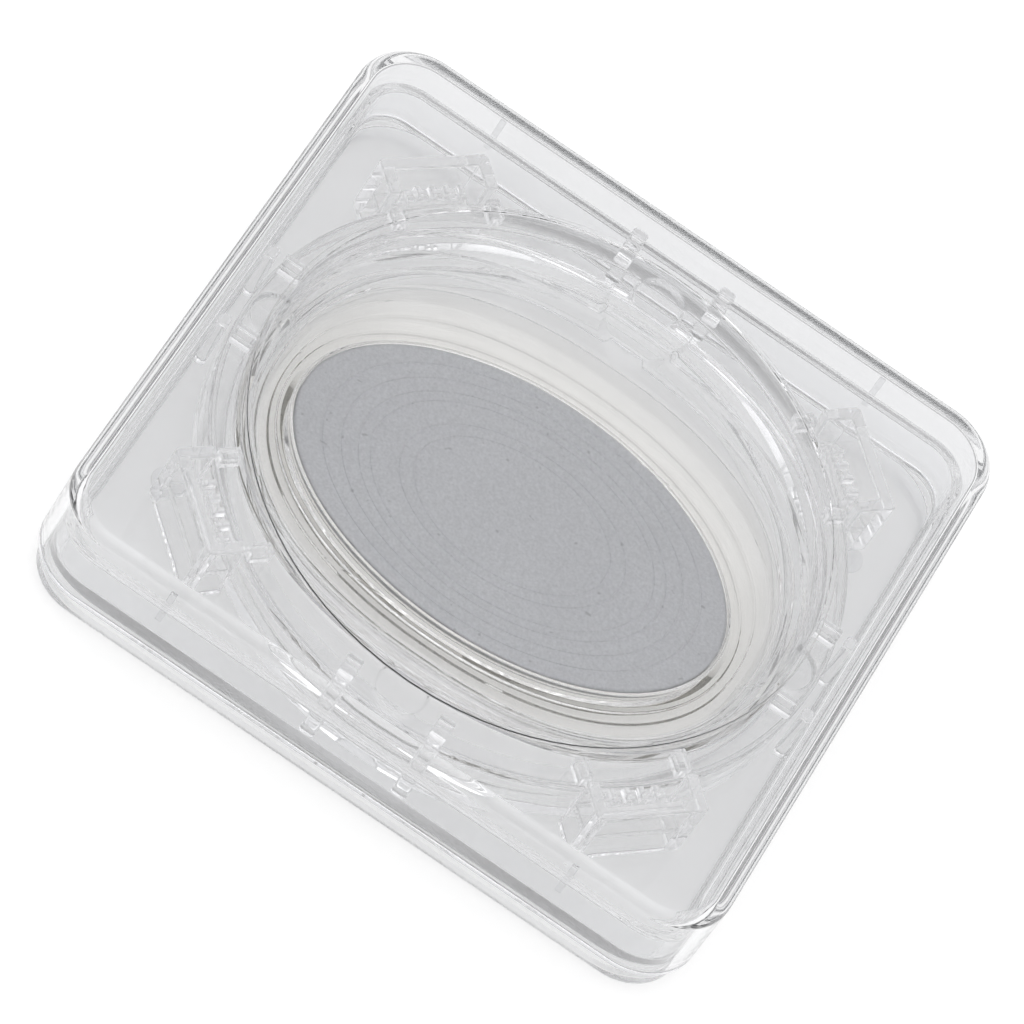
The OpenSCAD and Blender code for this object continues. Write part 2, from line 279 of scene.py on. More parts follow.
def makeMouldFlow():
    # Slow waves of a moulded surface, hair scratches from handling, and a slight haze
    group, nodes, links, given, result = newGroup(
        "mouldFlow",
        [("Vector", "NodeSocketVector", None), ("Wave Scale", "NodeSocketFloat", 60.0),
         ("Scratch", "NodeSocketFloat", 0.3), ("Base Roughness", "NodeSocketFloat", 0.01)],
        [("Height", "NodeSocketFloat"), ("Roughness", "NodeSocketFloat"), ("Tint", "NodeSocketFloat")],
    )
    vector = given.outputs["Vector"]
    wave = noiseNode(nodes, links, vector, given.outputs["Wave Scale"], 1.0, 0.4)
    total = None
    for turn, stretch in ((0.5, (900, 16, 40)), (2.1, (18, 1100, 40))):
        mapping = nodes.new("ShaderNodeMapping")
        mapping.inputs["Rotation"].default_value = (0, 0, turn)
        mapping.inputs["Scale"].default_value = stretch
        links.new(vector, mapping.inputs["Vector"])
        hair = noiseNode(nodes, links, mapping.outputs[0], 1.0, 1.0, 0.5)
        line = rangeNode(nodes, links, hair, 0.72, 0.78, 0.0, 1.0)
        total = line if total is None else mathNode(nodes, links, "MAXIMUM", total, line)
    scratch = mathNode(nodes, links, "MULTIPLY", total, given.outputs["Scratch"])
    height = mathNode(nodes, links, "SUBTRACT", wave, mathNode(nodes, links, "MULTIPLY", scratch, 0.2))
    haze = rangeNode(nodes, links, noiseNode(nodes, links, vector, 35.0, 3.0), 0.4, 0.7, 0.0, 0.012)
    rough = mathNode(nodes, links, "ADD", given.outputs["Base Roughness"], haze)
    rough = mathNode(nodes, links, "ADD", rough, mathNode(nodes, links, "MULTIPLY", scratch, 0.12))
    links.new(height, result.inputs["Height"])
    links.new(rough, result.inputs["Roughness"])
    links.new(wave, result.inputs["Tint"])
    return group


def makeFineSpeckle():
    # Small light and dark specks, as in filled or spark eroded plastic
    group, nodes, links, given, result = newGroup(
        "fineSpeckle",
        [("Vector", "NodeSocketVector", None), ("Scale", "NodeSocketFloat", 1500.0),
         ("Strength", "NodeSocketFloat", 0.2)],
        [("Value", "NodeSocketFloat"), ("Height", "NodeSocketFloat")],
    )
    vector = given.outputs["Vector"]
    fine = noiseNode(nodes, links, vector, given.outputs["Scale"], 2.0, 0.7)
    broad = noiseNode(nodes, links, vector, 45.0, 3.0, 0.5)
    centred = mathNode(nodes, links, "SUBTRACT", fine, 0.5)
    value = mathNode(nodes, links, "MULTIPLY", centred, given.outputs["Strength"])
    value = mathNode(nodes, links, "ADD", value, mathNode(nodes, links, "MULTIPLY", broad, 0.06))
    links.new(value, result.inputs["Value"])
    links.new(fine, result.inputs["Height"])
    return group


mouldFlow = makeMouldFlow()
fineSpeckle = makeFineSpeckle()


def startMaterial(name):
    material = bpy.data.materials.new(name)
    material.use_nodes = True
    nodes, links = material.node_tree.nodes, material.node_tree.links
    coordinates = nodes.new("ShaderNodeTexCoord")
    return material, nodes, links, nodes["Principled BSDF"], coordinates.outputs["Object"]


def placeGroup(nodes, links, group, vector, values):
    node = nodes.new("ShaderNodeGroup")
    node.node_tree = group
    links.new(vector, node.inputs["Vector"])
    for socketName, value in values.items():
        node.inputs[socketName].default_value = value
    return node


def bumpInto(nodes, links, shader, height, strength, distance):
    bump = nodes.new("ShaderNodeBump")
    bump.inputs["Strength"].default_value = strength
    bump.inputs["Distance"].default_value = distance
    links.new(height, bump.inputs["Height"])
    links.new(bump.outputs["Normal"], shader.inputs["Normal"])


def mixColour(nodes, links, share, first, second):
    node = nodes.new("ShaderNodeMix")
    node.data_type = "RGBA"
    node.inputs[6].default_value = first
    node.inputs[7].default_value = second
    links.new(share, node.inputs[0])
    return node.outputs[2]


def clearPlastic(name, look):
    # Clear styrene: full transmission, with waves, haze and scratches from the shared group.
    # Where a look has a warm colour, the plastic takes it on below the two given heights. Frost is
    # the eroded finish of undersides: below the sole's height and at the height of the floor's underside.
    material, nodes, links, shader, vector = startMaterial(name)
    flow = placeGroup(nodes, links, mouldFlow, vector, {
        "Wave Scale": look["waveScale"], "Scratch": look["scratch"], "Base Roughness": look["roughness"]})
    shader.inputs["IOR"].default_value = look["ior"]
    shader.inputs["Transmission Weight"].default_value = 1.0
    colour = mixColour(nodes, links, flow.outputs["Tint"], look["tintLow"], look["tintHigh"])
    rough = flow.outputs["Roughness"]
    split = nodes.new("ShaderNodeSeparateXYZ")
    links.new(vector, split.inputs[0])
    if "frost" in look:
        sole = rangeNode(nodes, links, split.outputs["Z"], look["sole"], look["sole"] + 0.0003, 1.0, 0.0)
        offset = mathNode(nodes, links, "SUBTRACT", split.outputs["Z"], look["underside"])
        offset = mathNode(nodes, links, "ABSOLUTE", offset, None)
        band = rangeNode(nodes, links, offset, 0.0001, 0.0002, 1.0, 0.0)
        under = mathNode(nodes, links, "MAXIMUM", sole, band)
        frost = mathNode(nodes, links, "MULTIPLY", under, look["frost"])
        rough = mathNode(nodes, links, "ADD", rough, frost)
    if "warm" in look:
        low, high = look["warmBelow"]
        depth = rangeNode(nodes, links, split.outputs["Z"], low, high, 1.0, 0.0)
        blend = nodes.new("ShaderNodeMix")
        blend.data_type = "RGBA"
        links.new(depth, blend.inputs[0])
        links.new(colour, blend.inputs[6])
        blend.inputs[7].default_value = look["warm"]
        colour = blend.outputs[2]
    links.new(colour, shader.inputs["Base Color"])
    links.new(rough, shader.inputs["Roughness"])
    bumpInto(nodes, links, shader, flow.outputs["Height"], look["bump"], look["bumpDepth"])
    return material


clearLooks = {
    "clearCover": {"ior": 1.5, "roughness": 0.002, "waveScale": 90.0, "scratch": 0.3, "bump": 0.25,
                   "bumpDepth": 0.00012, "tintLow": (0.87, 0.872, 0.877, 1),
                   "tintHigh": (0.91, 0.912, 0.917, 1)},
    "clearTray": {"ior": 1.5, "roughness": 0.004, "waveScale": 70.0, "scratch": 0.2, "bump": 0.3,
                  "bumpDepth": 0.00012, "tintLow": (0.91, 0.912, 0.917, 1),
                  "tintHigh": (0.96, 0.963, 0.968, 1),
                  "frost": 0.36, "sole": 0.001, "underside": 0.004},
    "clearInsert": {"ior": 1.5, "roughness": 0.003, "waveScale": 130.0, "scratch": 0.15, "bump": 0.3,
                    "bumpDepth": 0.00012, "tintLow": (0.95, 0.95, 0.95, 1),
                    "tintHigh": (0.985, 0.985, 0.985, 1)},
    "clearWell": {"ior": 1.5, "roughness": 0.003, "waveScale": 110.0, "scratch": 0.15, "bump": 0.35,
                  "bumpDepth": 0.00012, "tintLow": (0.955, 0.955, 0.955, 1),
                  "tintHigh": (0.985, 0.985, 0.985, 1),
                  "warm": (0.97, 0.955, 0.92, 1), "warmBelow": (0.0045, 0.0085)},
}
clearCover = clearPlastic("clearCover", clearLooks["clearCover"])
clearTray = clearPlastic("clearTray", clearLooks["clearTray"])
clearInsert = clearPlastic("clearInsert", clearLooks["clearInsert"])
clearWell = clearPlastic("clearWell", clearLooks["clearWell"])


def makeGreyDisc():
    material, nodes, links, shader, vector = startMaterial("greyDisc")
    speck = placeGroup(nodes, links, fineSpeckle, vector, {"Scale": 2600.0, "Strength": 1.0})
    share = mathNode(nodes, links, "ADD", speck.outputs["Value"], 0.5)
    dot = rangeNode(nodes, links, noiseNode(nodes, links, vector, 1000.0, 0.0), 0.8, 0.85, 0.0, 0.6)
    share = mathNode(nodes, links, "SUBTRACT", share, dot)  # a few dark dots
    links.new(mixColour(nodes, links, share, (0.47, 0.476, 0.494, 1), (0.82, 0.828, 0.853, 1)),
              shader.inputs["Base Color"])
    shader.inputs["Roughness"].default_value = 0.55
    shader.inputs["Specular IOR Level"].default_value = 0.35
    bumpInto(nodes, links, shader, speck.outputs["Height"], 0.4, 0.00006)
    return material


def makeSealSilicone():
    material, nodes, links, shader, vector = startMaterial("sealSilicone")
    speck = placeGroup(nodes, links, fineSpeckle, vector, {"Scale": 700.0, "Strength": 0.2})
    share = mathNode(nodes, links, "ADD", speck.outputs["Value"], 0.5)
    links.new(mixColour(nodes, links, share, (0.9, 0.905, 0.91, 1), (0.98, 0.985, 0.99, 1)),
              shader.inputs["Base Color"])
    shader.inputs["Transmission Weight"].default_value = 0.25
    shader.inputs["IOR"].default_value = 1.41
    shader.inputs["Roughness"].default_value = 0.35
    bumpInto(nodes, links, shader, speck.outputs["Height"], 0.2, 0.00005)
    return material


def makePadSponge():
    material, nodes, links, shader, vector = startMaterial("padSponge")
    cells = nodes.new("ShaderNodeTexVoronoi")
    cells.inputs["Scale"].default_value = 1100.0
    links.new(vector, cells.inputs["Vector"])
    # Low at the cells' centres: the bump sinks the pits there, and the same mask paints shade into the colour
    poreDepthAndShade = rangeNode(nodes, links, cells.outputs["Distance"], 0.15, 0.6, 0.0, 1.0)
    speck = placeGroup(nodes, links, fineSpeckle, vector, {"Scale": 420.0, "Strength": 0.5})
    # Adding the pore mask darkens the colour in the pits: painted shade in the sponge's holes, laid over the
    # speckle's real tone
    share = mathNode(nodes, links, "ADD", speck.outputs["Value"], poreDepthAndShade)
    links.new(mixColour(nodes, links, share, (0.52, 0.5, 0.4, 1), (0.84, 0.82, 0.72, 1)),
              shader.inputs["Base Color"])
    rough = rangeNode(nodes, links, speck.outputs["Height"], 0.3, 0.7, 0.35, 0.8)  # damp in patches
    links.new(rough, shader.inputs["Roughness"])
    bumpInto(nodes, links, shader, poreDepthAndShade, 0.9, 0.00025)
    return material


greyDisc = makeGreyDisc()
sealSilicone = makeSealSilicone()
padSponge = makePadSponge()
print("stage: materials made")


coverSize = {"half": 50.0, "corner": 9.0, "wall": 1.7, "low": 4.3, "plateLow": 16.45, "plateTop": 18.15,
             "edge": 2.6, "ridgeIn": 40.5, "ridgeOut": 41.3, "ridgeTop": 18.4, "inside": 0.9,
             "flatInset": 3.4, "underInset": 3.6}


def makeCover(s):
    inner, cornerIn = s["half"] - s["wall"], s["corner"] - s["wall"]
    knots = [
        [3, s["plateTop"], 0, 1],
        [s["ridgeIn"], s["plateTop"], 0, 1],
        [s["ridgeIn"] + 0.1, s["ridgeTop"], 0, 1],
        [s["ridgeOut"] - 0.1, s["ridgeTop"], 0, 1],
        [s["ridgeOut"], s["plateTop"], 0, 1],
        [s["half"] - s["flatInset"], s["plateTop"], s["corner"] - s["flatInset"], 0],
        [s["half"], s["plateTop"], s["corner"], 0],
        [s["half"], s["low"], s["corner"], 0],
        [inner, s["low"], cornerIn, 0],
        [inner, s["plateLow"], cornerIn, 0],
        [inner - s["underInset"], s["plateLow"], cornerIn - s["underInset"], 0],
        [3, s["plateLow"], 0, 1],
    ]
    soft = [0, 0.15, 0.1, 0.1, 0.15, 0, s["edge"], 0.3, 0.3, s["inside"], 0, 0]
    return shellFromRings(squareRings(filletPath(knots, soft, arcSteps=6)))


gripSize = {"place": 30.6, "width": 0.9, "low": 9.8, "high": 15.6, "face": 48.1, "back": 48.27}


def makeGripRibs(s):
    # Low half round ribs inside the skirt, two on each side
    outline = boxOutline(-s["width"] / 2, s["width"] / 2, s["face"], s["back"], 0.08)
    ribs = []
    for side in range(4):
        for x in (-s["place"], s["place"]):
            points, faces = slabShell(outline + np.array([x, 0]), s["low"], s["high"], 0.05, 2)
            ribs.append((turned(points, 90 * side), faces))
    return joinShells(ribs)


addPiece("coverShell", makeCover(coverSize), "cover", clearCover, ["cover"])
addPiece("gripRibs", makeGripRibs(gripSize), "cover", clearCover)
print("stage: cover made")


traySize = {"footHalf": 48.9, "footCorner": 7.9, "footHigh": 3.78, "bevel": 0.5, "wallHalf": 48.0,
            "wallIn": 46.4, "wallCorner": 7.0, "top": 11.8, "floor": 5.6, "under": 4.0, "legIn": 47.3,
            "legCorner": 9.4, "groove": 0.35, "sumpIn": 39.2, "sumpOut": 40.5, "sumpFloor": 1.45,
            "sumpLow": 0.45, "legInset": 2.4, "floorInset": 2.2}


def grooveKnots(half, top, corner, groove):
    # A fine V groove along the top of a wall, from its outer lip to its inner lip
    return [[half + groove, top, corner + groove, 0], [half, top - groove, corner, 0],
            [half - groove, top, corner - groove, 0]]


def makeTray(s):
    thick = s["wallHalf"] - s["wallIn"]
    knots = [
        [3, s["sumpLow"], 0, 1],
        [s["sumpOut"], s["sumpLow"], 0, 1],
        [s["sumpOut"], s["under"], 0, 1],
        [s["legIn"] - s["legInset"], s["under"], s["legCorner"] - s["legInset"], 0],
        [s["legIn"], s["under"], s["legCorner"], 0],
        [s["legIn"], 0, s["legCorner"], 0],
        [s["footHalf"] - s["bevel"], 0, s["footCorner"] - s["bevel"], 0],
        [s["footHalf"], s["bevel"], s["footCorner"], 0],
        [s["footHalf"], s["footHigh"], s["footCorner"], 0],
        [s["wallHalf"], s["footHigh"], s["wallCorner"], 0],
        [s["wallHalf"], s["top"], s["wallCorner"], 0],
        *grooveKnots((s["wallHalf"] + s["wallIn"]) / 2, s["top"], s["wallCorner"] - thick / 2, s["groove"]),
        [s["wallIn"], s["top"], s["wallCorner"] - thick, 0],
        [s["wallIn"], s["floor"], s["wallCorner"] - thick, 0],
        [s["wallIn"] - s["floorInset"], s["floor"], s["wallCorner"] - thick - s["floorInset"], 0],
        [s["sumpIn"], s["floor"], 0, 1],
        [s["sumpIn"], s["sumpFloor"], 0, 1],
        [3, s["sumpFloor"], 0, 1],
    ]
    soft = [0, 0.5, 0.3, 0, 0.6, 0.25, 0.2, 0.2, 0.2, 0.2, 0.2, 0.06, 0.08, 0.06, 0.2, 0.5, 0, 0.3, 0.4, 0]
    return shellFromRings(squareRings(filletPath(knots, soft, arcSteps=4)))


sealSize = {"inHalf": 48.12, "outHalf": 48.85, "low": 3.81, "high": 4.28, "corner": 7.85}


def makeSeal(s):
    width = s["outHalf"] - s["inHalf"]
    knots = [
        [s["inHalf"], s["low"], s["corner"] - width, 0],
        [s["outHalf"], s["low"], s["corner"], 0],
        [s["outHalf"], s["high"], s["corner"], 0],
        [s["inHalf"], s["high"], s["corner"] - width, 0],
    ]
    return shellFromRings(squareRings(filletPath(knots, [0.08, 0.2, 0.2, 0.08], closed=True)), closed=True)


markSize = {"x": 39.6, "y": 27.0, "radius": 2.4, "low": 5.62, "high": 5.72}


def makeEjectorMarks(s):
    # Faint round pads that the mould's ejector pins leave on the floor
    angle = np.linspace(0, 2 * math.pi, 48, endpoint=False)
    circle = s["radius"] * np.stack([np.cos(angle), np.sin(angle)], axis=1)
    marks = [slabShell(circle + np.array([x, y]), s["low"], s["high"], 0.05, 2)
             for x, y in ((s["x"], s["y"]), (-s["x"], -s["y"]))]
    return joinShells(marks)


addPiece("tray", makeTray(traySize), "base", clearTray, ["base_tray", "sump"])
addPiece("sealBand", makeSeal(sealSize), "base", sealSilicone, ["seal"])
addPiece("ejectorMarks", makeEjectorMarks(markSize), "base", clearTray)
print("stage: tray made")


ringSize = {"in": 41.2, "out": 44.6, "low": 5.65, "top": 11.98, "soft": 0.25}
postSize = {"x": 7.05, "width": 2.3, "near": 44.72, "far": 46.28, "low": 5.65, "top": 15.3}


def makeRing(s):
    angles = np.linspace(0, 2 * math.pi, 288, endpoint=False)
    corners = [[s["in"], s["low"]], [s["out"], s["low"]], [s["out"], s["top"]], [s["in"], s["top"]]]
    path = filletPath(corners, [s["soft"]] * 4, closed=True)
    px, py = path[:, :1] * np.cos(angles)[None], path[:, :1] * np.sin(angles)[None]
    rings = np.stack([px, py, np.broadcast_to(path[:, 1:], px.shape)], axis=2)
    return shellFromRings(rings, closed=True)


def makePosts(s):
    outline = boxOutline(-s["width"] / 2, s["width"] / 2, s["near"], s["far"], 0.5)
    posts = []
    for side in range(4):
        for x in (-s["x"], s["x"]):
            points, faces = slabShell(outline + np.array([x, 0]), s["low"], s["top"], 0.45)
            posts.append((turned(points, 90 * side), faces))
    return joinShells(posts)


clipSize = {"near": 44.72, "far": 50.38, "half": 8.08, "wall": 1.88, "low": 5.65, "top": 16.1,
            "shelfLow": 9.4, "shelfHigh": 10.58}


def makeClip(s, number):
    inner = s["half"] - s["wall"]
    corners = [
        [s["near"], -s["half"]], [s["far"], -s["half"]], [s["far"], s["half"]], [s["near"], s["half"]],
        [s["near"], inner], [s["far"] - s["wall"], inner],
        [s["far"] - s["wall"], -inner], [s["near"], -inner],
    ]
    bracket = filletPath(corners, [0.5, 0.7, 0.7, 0.5, 0.5, 0.3, 0.3, 0.5], arcSteps=3, closed=True)
    shelf = boxOutline(s["near"], s["far"] - s["wall"] - 0.03, -inner + 0.03, inner - 0.03, 0.2)
    points, faces = joinShells([
        slabShell(bracket, s["low"], s["top"], 0.38),
        slabShell(shelf, s["shelfLow"], s["shelfHigh"], 0.2),
    ])
    return turned(points, 90 * number - 45), faces


keySize = {"near": 45.02, "far": 46.98, "half": 4.2, "low": 10.62, "top": 14.2, "teeth": 4, "depth": 1.0}


def makeKey(s, number):
    # The toothed outline stands upright and is carried along the radius
    pitch = 2 * s["half"] / s["teeth"]
    outline = [[-s["half"], s["low"]], [s["half"], s["low"]]]
    for i in range(s["teeth"]):
        right = s["half"] - i * pitch
        outline += [[right, s["top"] - s["depth"]], [right - pitch / 2, s["top"] - s["depth"]],
                    [right - pitch / 2, s["top"]], [right - pitch, s["top"]]]
    outline = filletPath(outline, [0.15] * 2 + [0.15, 0.25, 0.42, 0.42] * s["teeth"], arcSteps=3, closed=True)
    points, faces = slabShell(outline, s["near"], s["far"], 0.15, 2)
    points = points[:, [2, 0, 1]]
    return turned(points, 90 * number - 45), faces


addPiece("holderRing", joinShells([makeRing(ringSize), makePosts(postSize)]),
                      "base", clearInsert, ["holder_ring"])
for number in (1, 2, 3, 4):
    addPiece("clip.%d" % number, makeClip(clipSize, number), "base", clearInsert,
             ["clip_%d" % number])
    addPiece("key.%d" % number, makeKey(keySize, number), "base", clearInsert,
             ["key_%d" % number])
print("stage: ring, clips and keys made")


wellSize = {"flange": 44.6, "top": 13.0, "under": 12.02, "mouthA": 40.3, "mouthB": 36.4, "sillA": 39.1,
            "sillB": 32.8, "sillZ": 10.9, "turnA": 36.4, "turnB": 27.8, "turnZ": 6.7, "flatA": 33.8,
            "flatB": 22.7, "flatZ": 4.6, "pocketA": 30.8, "pocketB": 19.7, "pocketZ": 2.9, "low": 1.75,
            "wall": 1.2, "ledge": 0.8, "riser": 0.5, "rimLine": 44.05,
            "lowBeads": (0.22, 0.62), "highBeads": (0.34, 0.7), "beadWide": 0.5, "beadHigh": 0.42,
            "bore": 40.85, "round": 2.3, "shift": -0.4}
notchSize = {"radius": 3.6, "alongX": 40.3, "alongY": 39.1, "depth": 0.6, "soft": 0.3}
thumbSize = {"place": 36.8, "radius": 6.4, "depth": 1.1, "soft": 0.25, "low": 7.6,
             "fadeEnd": 40.5, "fade": 4}
seamSize = {"angles": (141, 175, 77, 321, 355, 257), "width": 0.28, "height": 0.12,
            "wallRadius": 34}


def beadKnots(lower, upper, shares, wide, high):
    # The wall's straight run from lower to upper with low round beads standing on it, each at a
    # share of the run: the run's direction gives a bead's foot, its normal the crest
    lower, upper = np.array(lower, float), np.array(upper, float)
    run = upper - lower
    length = math.hypot(run[0], run[1])
    foot = run / length * wide / 2
    crest = np.array([-run[1], run[0], -run[1], 0, 0]) / length * high
    knots = [lower]
    for share in shares:
        middle = lower + run * share
        knots += [middle - foot, middle + crest, middle + foot]
    return knots


def makeWell(s, notch, thumb, seam):
    x, n, wall = s["shift"], s["round"], s["wall"]
    flat = [s["flatB"], s["flatZ"], s["flatA"], 2, x]
    turn = [s["turnB"], s["turnZ"], s["turnA"], n, 0]
    sill = [s["sillB"], s["sillZ"] - 0.12, s["sillA"], n, 0]
    knots = [
        [2, s["pocketZ"], 3, 2, x],
        [s["pocketB"], s["pocketZ"], s["pocketA"], 2, x],
        [s["pocketB"], s["flatZ"], s["pocketA"], 2, x],
        *beadKnots(flat, turn, s["lowBeads"], s["beadWide"], s["beadHigh"]),
        *beadKnots(turn, sill, s["highBeads"], s["beadWide"], s["beadHigh"]),
        sill,
        [s["sillB"] + s["ledge"], s["sillZ"], s["sillA"] + s["ledge"], n, 0],
        [s["sillB"] + s["ledge"] + 0.03, s["sillZ"] + s["riser"], s["sillA"] + s["ledge"] + 0.03, n, 0],
        [s["mouthB"] - 0.25, s["top"] - s["riser"], s["mouthA"] - 0.25, n, 0],
        [s["mouthB"] - 0.2, s["top"], s["mouthA"] - 0.2, n, 0],
        [s["mouthB"] + 0.35, s["top"], s["mouthA"] + 0.35, n, 0],
        [s["mouthB"] + 0.45, s["top"] - 0.4, s["mouthA"] + 0.45, n, 0],
        [s["mouthB"] + 0.7, s["top"], s["mouthA"] + 0.7, n, 0],
        [s["rimLine"] - 0.2, s["top"], s["rimLine"] - 0.2, 2, 0],
        [s["rimLine"], s["top"] - 0.2, s["rimLine"], 2, 0],
        [s["rimLine"] + 0.2, s["top"], s["rimLine"] + 0.2, 2, 0],
        [s["flange"], s["top"], s["flange"], 2, 0],
        [s["flange"], s["under"], s["flange"], 2, 0],
        [s["mouthB"] + 0.6, s["under"], s["bore"], n, 0],
        [s["sillB"] + wall, s["sillZ"] - wall, s["sillA"] + wall, n, 0],
        [s["turnB"] + wall, s["turnZ"] - wall, s["turnA"] + wall, n, 0],
        [s["flatB"] + wall, s["flatZ"] - wall, s["flatA"] + wall / 2, 2.1, x],
        [s["pocketB"] + wall, s["low"], s["pocketA"] + wall, 2, x],
        [2, s["low"], 3, 2, x],
    ]
    lowBeads, highBeads = len(s["lowBeads"]), len(s["highBeads"])
    soft = [0, 0.4, 0.2, 0.3] + [0.1, 0.16, 0.1] * lowBeads + [0.25] + [0.1, 0.16, 0.1] * highBeads
    soft += [0.06] * 4 + [0.05] + [0.03] * 3 + [0.04] * 3 + [0.2, 0.2, 0.3, 0.8, 1.0, 0.6, 0.5, 0]
    spans = [0, 0, 0] + [3, 0, 0] * lowBeads + [3] + [4, 0, 0] * highBeads
    spans += [4, 1, 1, 10, 1, 1, 0, 0, 24, 0, 0, 0, 0, 2, 3, 3, 3, 0, 0, 0]
    profile = filletPath(knots, soft, spans, arcSteps=3)
    rings = ovalRings(profile, ovalAngles(), limit=(s["bore"], s["under"] - 0.01))
    px, py, pz = rings[..., 0], rings[..., 1], rings[..., 2]
    upper = np.arange(len(profile)) < np.argmax(profile[:, 0] >= s["flange"] - 0.35)
    # thumb scoop: the far wall steps back inside an upright circle
    reach = thumb["radius"] - np.hypot(px, py - thumb["place"])
    share = np.clip(reach / thumb["soft"] + 0.5, 0, 1)
    share = share * share * (3 - 2 * share) * upper[:, None]
    share = share * (pz > thumb["low"]) * np.clip((thumb["fadeEnd"] - np.hypot(px, py)) / thumb["fade"], 0, 1)
    rings[..., 1] = py + thumb["depth"] * share
    py = rings[..., 1]
    # nail notches: the top of the flange drops inside four circles
    for cx, cy in ((notch["alongX"], 0), (-notch["alongX"], 0), (0, notch["alongY"]), (0, -notch["alongY"])):
        reach = notch["radius"] - np.hypot(px - cx, py - cy)
        share = np.clip(reach / notch["soft"] + 0.5, 0, 1)
        share = share * share * (3 - 2 * share) * upper[:, None]
        floor = s["top"] - notch["depth"] * share
        rings[..., 2] = np.minimum(rings[..., 2], floor)
    # seam marks: narrow upright ridges on the wall
    angles = ovalAngles()
    wallRows = (profile[:, 1] > s["flatZ"] + 0.4) & (profile[:, 1] < s["top"] - 0.3) & upper
    radius = np.hypot(rings[..., 0], rings[..., 1])
    for degrees in seam["angles"]:
        away = np.abs((angles - math.radians(degrees) + math.pi) % (2 * math.pi) - math.pi)
        across = np.clip(1 - (away * seam["wallRadius"] / seam["width"]) ** 2, 0, 1)[None] * wallRows[:, None]
        rings[..., 0] -= rings[..., 0] / radius * seam["height"] * across
        rings[..., 1] -= rings[..., 1] / radius * seam["height"] * across
    return shellFromRings(rings)


ribSize = {"near": 40.62, "far": 43.8, "low": 13.01, "top": 15.28, "postY": 7.05, "postWide": 2.3,
           "cheekY": 7.14, "cheekWide": 1.88}


def makeFlangeRibs(s):
    # Short upright ribs on the flange, in line with the posts and with the clips' cheeks
    ribs = []
    for start, place, wide in ((0, s["postY"], s["postWide"]), (45, s["cheekY"], s["cheekWide"])):
        for side in range(4):
            for y in (-place, place):
                outline = boxOutline(s["near"], s["far"], y - wide / 2, y + wide / 2, 0.3)
                points, faces = slabShell(outline, s["low"], s["top"], 0.28)
                ribs.append((turned(points, start + 90 * side), faces))
    return joinShells(ribs)


addPiece("wellBowl", makeWell(wellSize, notchSize, thumbSize, seamSize), "insert",
                clearWell, ["well"])
addPiece("flangeRibs", makeFlangeRibs(ribSize), "insert", clearInsert)
print("stage: well made")


padSize = {"b": 19.4, "a": 30.5, "low": 2.92, "top": 4.93, "shift": -0.4, "crown": 0.12}


def makePad(s):
    # A pressed sponge: soft edge, slightly uneven top
    knots = [[1, s["low"], 1.5, 2, s["shift"]], [s["b"], s["low"], s["a"], 2, s["shift"]],
             [s["b"], s["top"], s["a"], 2, s["shift"]], [1, s["top"], 1.5, 2, s["shift"]]]
    profile = filletPath(knots, [0, 0.35, 0.6, 0], [6, 2, 24, 0], arcSteps=6)
    angles = np.linspace(0, 2 * math.pi, 160, endpoint=False)
    rings = ovalRings(profile, angles)
    px, py = rings[..., 0], rings[..., 1]
    uneven = np.sin(0.9 * px + 1.1) * np.sin(1.1 * py) + 0.6 * np.sin(2.3 * px - 1.7 * py)
    top = rings[..., 2] > s["low"] + 0.8
    rings[..., 2] -= top * s["crown"] * (0.5 + 0.3 * uneven)
    return shellFromRings(rings)


hoopSize = {"inB": 21.4, "inA": 32.5, "wide": 0.5, "low": 4.97, "top": 6.22, "shift": -0.4}


def makeHoop(s):
    outB, outA = s["inB"] + s["wide"], s["inA"] + s["wide"]
    knots = [[s["inB"], s["low"], s["inA"], 2, s["shift"]], [outB, s["low"], outA, 2, s["shift"]],
             [outB, s["top"], outA, 2, s["shift"]], [s["inB"], s["top"], s["inA"], 2, s["shift"]]]
    profile = filletPath(knots, [0.1, 0.1, 0.2, 0.2], closed=True)
    angles = np.linspace(0, 2 * math.pi, 288, endpoint=False)
    return shellFromRings(ovalRings(profile, angles), closed=True)


discSize = {"b": 21.3, "a": 32.4, "low": 4.97, "top": 6.3, "shift": -0.4, "grooveDepth": 0.12,
            "grooveWidth": 0.36, "shares": (0.45, 0.519, 0.652, 0.707, 0.785, 0.87), "rounder": 1.05}


def makeDisc(s):
    x = s["shift"]
    knots, soft = [[1, s["low"], 1.5, 2, x], [s["b"], s["low"], s["a"], 2, x]], [0, 0.25]
    knots.append([s["b"], s["top"], s["a"], 2, x])
    soft.append(0.3)
    for share in s["shares"][::-1]:
        a, b = share * s["a"], share * s["b"] * s["rounder"]
        for step, drop in ((0.5, 0), (0.25, 1), (-0.25, 1), (-0.5, 0)):
            knots.append([b + step * s["grooveWidth"], s["top"] - drop * s["grooveDepth"],
                          a + step * s["grooveWidth"], 2, x])
            soft.append(0.04)
    knots.append([1, s["top"], 1.5, 2, x])
    soft.append(0)
    profile = filletPath(knots, soft, arcSteps=3)
    angles = np.linspace(0, 2 * math.pi, 288, endpoint=False)
    return shellFromRings(ovalRings(profile, angles))


sponge = addPiece("dampPad", makePad(padSize), "pad", padSponge, ["pad"])
addPiece("discHoop", makeHoop(hoopSize), "palette", clearInsert, ["hoop"])
addPiece("mixingDisc", makeDisc(discSize), "palette", greyDisc, ["disc"])
print("stage: pad and disc made")


floorLook = {"size": 3.0, "glow": 0.75}


